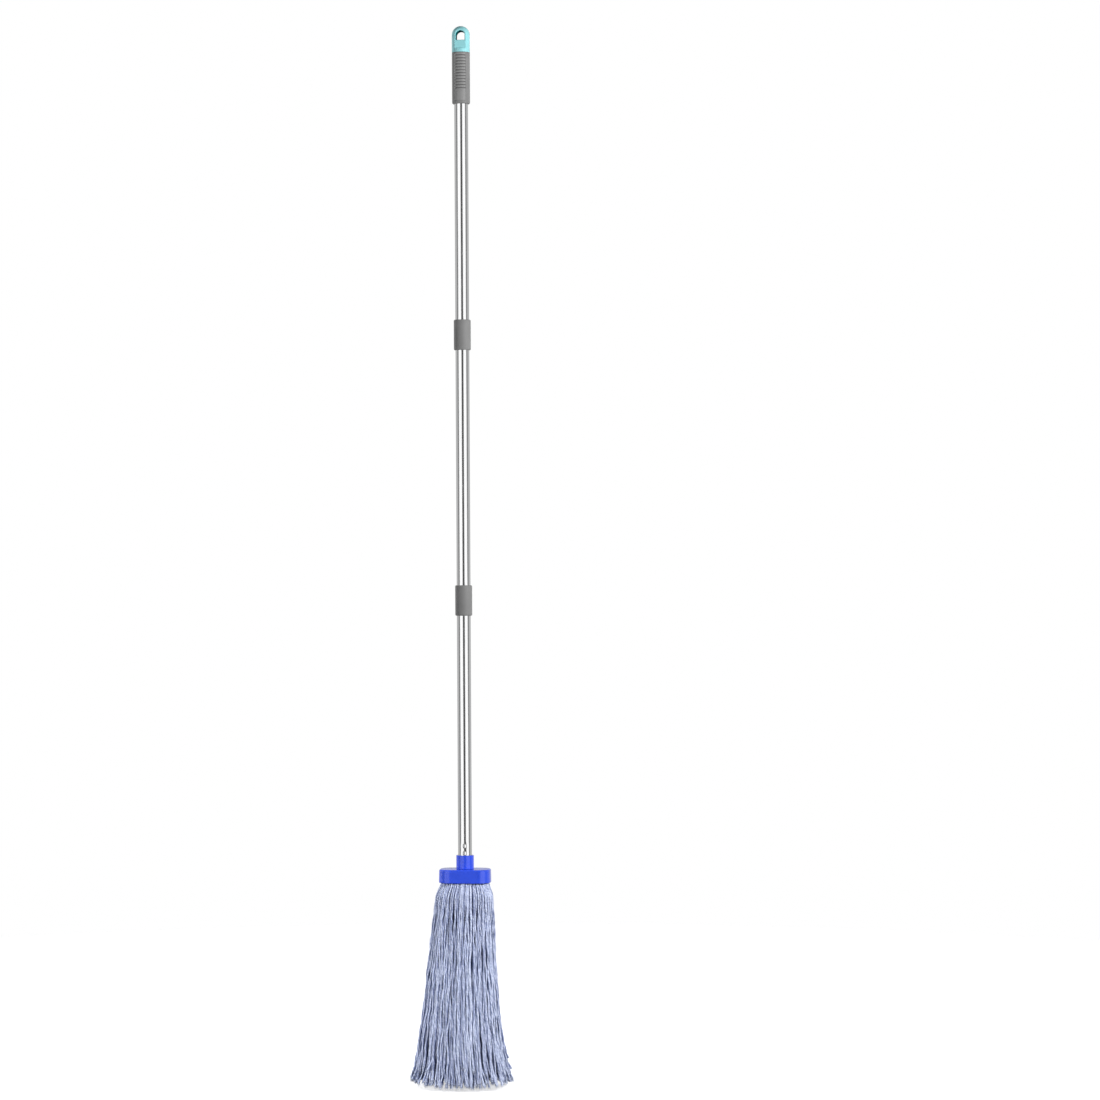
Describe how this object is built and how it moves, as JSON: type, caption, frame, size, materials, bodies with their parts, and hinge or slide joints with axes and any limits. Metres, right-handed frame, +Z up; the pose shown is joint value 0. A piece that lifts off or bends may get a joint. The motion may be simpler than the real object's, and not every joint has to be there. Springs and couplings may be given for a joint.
{
  "type": "string mop",
  "caption": "String mop: a skirt of splayed cotton yarn clamped in an oval socket cap, on a sectional screw-together metal pole with a ribbed grip and a hanging eye.",
  "frame": {"origin": "on the axis of the pole, at the height of the lowest yarn tips", "axes": "+Z up along the pole, X across the wide face of the oval cap, -Y out of its front face"},
  "size_m": [0.148, 0.1, 1.5366],
  "materials": {
    "turquoise_plastic": "satin",
    "grey_plastic": "satin",
    "stainless_tube": "polished",
    "natural_plastic": "satin",
    "blue_plastic": "satin",
    "steel_hardware": "satin",
    "yarn": "matte"
  },
  "bodies": {
    "upper_section": {"hanger_cap": "turquoise_plastic", "grip_sleeve": "grey_plastic", "upper_tube": "stainless_tube", "upper_tube_tip": "natural_plastic"},
    "upper_collar": {"upper_collar": "grey_plastic"},
    "middle_section": {"upper_joint_socket": "natural_plastic", "middle_tube": "stainless_tube", "middle_tube_tip": "natural_plastic"},
    "lower_collar": {"lower_collar": "grey_plastic"},
    "lower_section": {"lower_joint_socket": "natural_plastic", "lower_tube": "stainless_tube", "lower_tube_tip": "natural_plastic"},
    "neck_ferrule": {"neck_ferrule": "blue_plastic"},
    "head": {"socket_core": "blue_plastic", "mop_cap": "blue_plastic", "yarn_clamp_plate": "blue_plastic", "clamp_screws": "steel_hardware", "yarn_binding_wire": "steel_hardware", "yarn_root_pad": "yarn", "yarn_core": "yarn"},
    "yarn_lock_front_left": {"yarn_lock_front_left": "yarn"},
    "yarn_lock_front_right": {"yarn_lock_front_right": "yarn"},
    "yarn_lock_back_left": {"yarn_lock_back_left": "yarn"},
    "yarn_lock_back_right": {"yarn_lock_back_right": "yarn"},
    "yarn_lock_left": {"yarn_lock_left": "yarn"},
    "yarn_lock_left_front": {"yarn_lock_left_front": "yarn"},
    "yarn_lock_left_back": {"yarn_lock_left_back": "yarn"},
    "yarn_lock_right": {"yarn_lock_right": "yarn"},
    "yarn_lock_right_front": {"yarn_lock_right_front": "yarn"},
    "yarn_lock_right_back": {"yarn_lock_right_back": "yarn"}
  },
  "joints": [
    {"name": "upper_screw_travel", "type": "slide", "parent": "upper_section", "child": "upper_collar", "axis": [0, 0, -1], "range_m": [0, 0.02]},
    {"name": "upper_screw_turn", "type": "hinge", "parent": "upper_collar", "child": "middle_section", "pos_m": [0, 0, 1.0893], "axis": [0, 0, -1], "range_deg": [0, 1800]},
    {"name": "lower_screw_travel", "type": "slide", "parent": "middle_section", "child": "lower_collar", "axis": [0, 0, -1], "range_m": [0, 0.02]},
    {"name": "lower_screw_turn", "type": "hinge", "parent": "lower_collar", "child": "lower_section", "pos_m": [0, 0, 0.7049], "axis": [0, 0, -1], "range_deg": [0, 1800]},
    {"name": "head_screw_travel", "type": "slide", "parent": "lower_section", "child": "neck_ferrule", "axis": [0, 0, -1], "range_m": [0, 0.02]},
    {"name": "head_screw_turn", "type": "hinge", "parent": "neck_ferrule", "child": "head", "pos_m": [0, 0, 0.3323], "axis": [0, 0, -1], "range_deg": [0, 1800]},
    {"name": "front_left_yarn_swing", "type": "hinge", "parent": "head", "child": "yarn_lock_front_left", "pos_m": [-0.0115, -0.023, 0.2964], "axis": [-1, 0, 0], "range_deg": [0, 60], "stiffness_Nm_per_rad": 0.02},
    {"name": "front_right_yarn_swing", "type": "hinge", "parent": "head", "child": "yarn_lock_front_right", "pos_m": [0.0115, -0.023, 0.2964], "axis": [-1, 0, 0], "range_deg": [0, 60], "stiffness_Nm_per_rad": 0.02},
    {"name": "back_left_yarn_swing", "type": "hinge", "parent": "head", "child": "yarn_lock_back_left", "pos_m": [-0.0115, 0.023, 0.2964], "axis": [1, 0, 0], "range_deg": [0, 60], "stiffness_Nm_per_rad": 0.02},
    {"name": "back_right_yarn_swing", "type": "hinge", "parent": "head", "child": "yarn_lock_back_right", "pos_m": [0.0115, 0.023, 0.2964], "axis": [1, 0, 0], "range_deg": [0, 60], "stiffness_Nm_per_rad": 0.02},
    {"name": "left_yarn_swing", "type": "hinge", "parent": "head", "child": "yarn_lock_left", "pos_m": [-0.037, 0, 0.2964], "axis": [0, 1, 0], "range_deg": [0, 60], "stiffness_Nm_per_rad": 0.02},
    {"name": "left_front_yarn_swing", "type": "hinge", "parent": "head", "child": "yarn_lock_left_front", "pos_m": [-0.03202, -0.01802, 0.2964], "axis": [-0.7071, 0.7071, 0], "range_deg": [0, 60], "stiffness_Nm_per_rad": 0.02},
    {"name": "left_back_yarn_swing", "type": "hinge", "parent": "head", "child": "yarn_lock_left_back", "pos_m": [-0.03202, 0.01802, 0.2964], "axis": [0.7071, 0.7071, 0], "range_deg": [0, 60], "stiffness_Nm_per_rad": 0.02},
    {"name": "right_yarn_swing", "type": "hinge", "parent": "head", "child": "yarn_lock_right", "pos_m": [0.037, 0, 0.2964], "axis": [0, -1, 0], "range_deg": [0, 60], "stiffness_Nm_per_rad": 0.02},
    {"name": "right_front_yarn_swing", "type": "hinge", "parent": "head", "child": "yarn_lock_right_front", "pos_m": [0.03202, -0.01802, 0.2964], "axis": [-0.7071, -0.7071, 0], "range_deg": [0, 60], "stiffness_Nm_per_rad": 0.02},
    {"name": "right_back_yarn_swing", "type": "hinge", "parent": "head", "child": "yarn_lock_right_back", "pos_m": [0.03202, 0.01802, 0.2964], "axis": [0.7071, -0.7071, 0], "range_deg": [0, 60], "stiffness_Nm_per_rad": 0.02}
  ],
  "couplings": [
    {"joint": "upper_screw_travel", "follows": "upper_screw_turn", "m_per_rad": 0.0006366},
    {"joint": "lower_screw_travel", "follows": "lower_screw_turn", "m_per_rad": 0.0006366},
    {"joint": "head_screw_travel", "follows": "head_screw_turn", "m_per_rad": 0.0006366},
    {"joint": "front_right_yarn_swing", "follows": "front_left_yarn_swing", "ratio": 1},
    {"joint": "back_right_yarn_swing", "follows": "back_left_yarn_swing", "ratio": 1},
    {"joint": "left_front_yarn_swing", "follows": "left_yarn_swing", "ratio": 1},
    {"joint": "left_back_yarn_swing", "follows": "left_yarn_swing", "ratio": 1},
    {"joint": "right_front_yarn_swing", "follows": "right_yarn_swing", "ratio": 1},
    {"joint": "right_back_yarn_swing", "follows": "right_yarn_swing", "ratio": 1}
  ]
}
